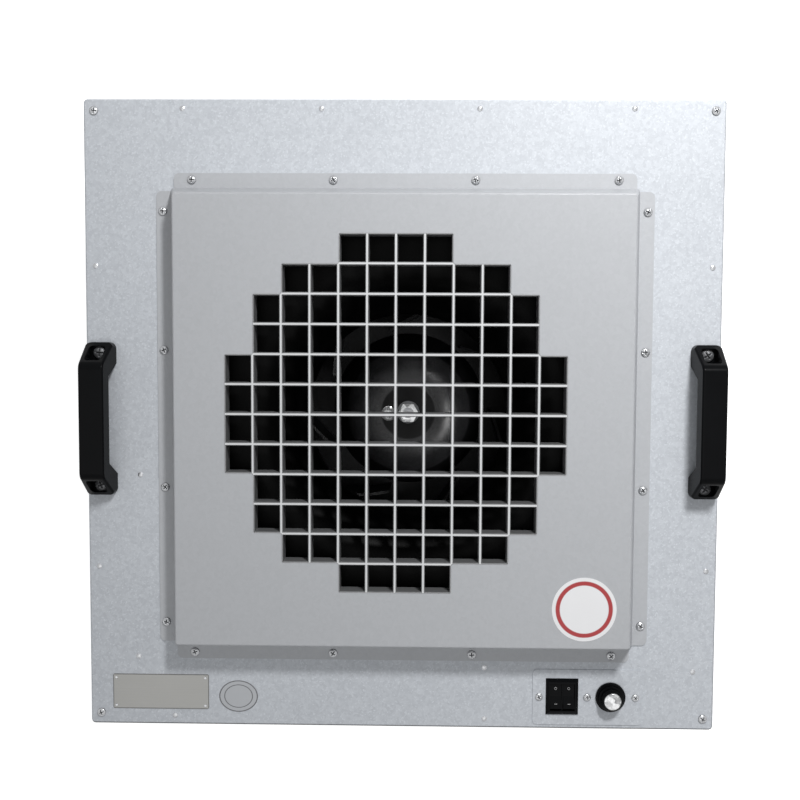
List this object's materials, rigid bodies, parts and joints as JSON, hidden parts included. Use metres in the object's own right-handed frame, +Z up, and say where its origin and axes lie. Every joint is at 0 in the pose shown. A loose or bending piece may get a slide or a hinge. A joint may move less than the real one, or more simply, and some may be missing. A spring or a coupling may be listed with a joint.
{
  "type": "fan filter unit",
  "caption": "Square fan filter unit for a cleanroom ceiling, with a raised inlet cover, a white intake grille over a black fan, two lifting handles and a control plate.",
  "frame": {"origin": "middle of the underside of the filter frame, bottom centre of the bounding box", "axes": "+Z up towards the fan side, +X along the control plate towards the speed knob, +Y from the control plate towards the opposite side"},
  "size_m": [0.5784, 0.5754, 0.32],
  "materials": {
    "galvanised_sheet": "satin",
    "cover_sheet": "satin",
    "zinc_fastener": "satin",
    "polished_metal": "polished",
    "white_plastic": "satin",
    "black_plastic": "satin",
    "black_coated_metal": "satin",
    "rubber_black": "matte",
    "foam_dark": "matte",
    "steel_raw": "satin",
    "copper_winding": "satin",
    "plate_label": "satin",
    "sticker_clear": "gloss",
    "sticker_white": "satin",
    "frame_aluminium": "anodised",
    "filter_paper": "matte",
    "gasket_foam": "matte",
    "circuit_board": "gloss",
    "capacitor_shell": "gloss",
    "terminal_plastic": "matte",
    "impeller_plastic": "satin"
  },
  "bodies": {
    "housing": {"top_panel": "galvanised_sheet", "plenum_walls": "galvanised_sheet", "wall_lining": "foam_dark", "cable_grommet": "rubber_black", "inlet_cover": "cover_sheet", "intake_grille": "white_plastic", "cover_screws": "zinc_fastener", "corner_screws": "zinc_fastener", "panel_rivets": "zinc_fastener", "inlet_ring": "black_coated_metal", "inlet_ring_screws": "zinc_fastener", "motor_housing": "black_coated_metal", "motor_end_cap": "black_coated_metal", "bearing_lower": "steel_raw", "bearing_upper": "steel_raw", "stator_core": "steel_raw", "stator_windings": "copper_winding", "fan_studs": "zinc_fastener", "motor_spider": "galvanised_sheet", "motor_screws": "zinc_fastener", "vibration_dampers": "rubber_black", "stud_nuts": "zinc_fastener", "flow_baffle": "galvanised_sheet", "handle_left": "black_plastic", "handle_right": "black_plastic", "handle_screws": "zinc_fastener", "handle_nuts": "zinc_fastener", "control_plate": "galvanised_sheet", "plate_screws": "zinc_fastener", "switch_body": "black_plastic", "switch_terminals": "polished_metal", "potentiometer": "steel_raw", "potentiometer_nut": "zinc_fastener", "speed_board": "circuit_board", "control_box": "galvanised_sheet", "terminal_box": "galvanised_sheet", "capacitor": "capacitor_shell", "terminal_block": "terminal_plastic", "nameplate": "plate_label", "nameplate_pins": "zinc_fastener", "oval_sticker": "sticker_clear", "round_sticker": "sticker_white", "filter_frame": "frame_aluminium", "filter_guard": "galvanised_sheet", "filter_pack": "filter_paper", "filter_gasket": "gasket_foam", "filter_clips": "steel_raw", "clip_screws": "zinc_fastener"},
    "fan_rotor": {"impeller": "impeller_plastic", "hub_lock_screw": "polished_metal", "shaft_washer": "polished_metal", "shaft_nut": "polished_metal", "motor_shaft": "steel_raw", "rotor_core": "steel_raw"},
    "rocker_left_body": {"rocker_left": "black_plastic"},
    "rocker_right_body": {"rocker_right": "black_plastic"},
    "knob": {"speed_knob": "black_plastic", "knob_cap": "polished_metal", "knob_shaft": "steel_raw"}
  },
  "joints": [
    {"name": "fan_spin", "type": "hinge", "parent": "housing", "child": "fan_rotor", "pos_m": [0.005, 0.0018, 0.165], "axis": [0, 0, 1], "continuous": true},
    {"name": "rocker_left_hinge", "type": "hinge", "parent": "housing", "child": "rocker_left_body", "pos_m": [0.1425, -0.2552, 0.2825], "axis": [1, 0, 0], "range_deg": [0, 18]},
    {"name": "rocker_right_hinge", "type": "hinge", "parent": "housing", "child": "rocker_right_body", "pos_m": [0.1545, -0.2552, 0.2825], "axis": [1, 0, 0], "range_deg": [0, 18]},
    {"name": "knob_turn", "type": "hinge", "parent": "housing", "child": "knob", "pos_m": [0.1928, -0.2552, 0.29], "axis": [0, 0, -1], "range_deg": [0, 280]}
  ]
}
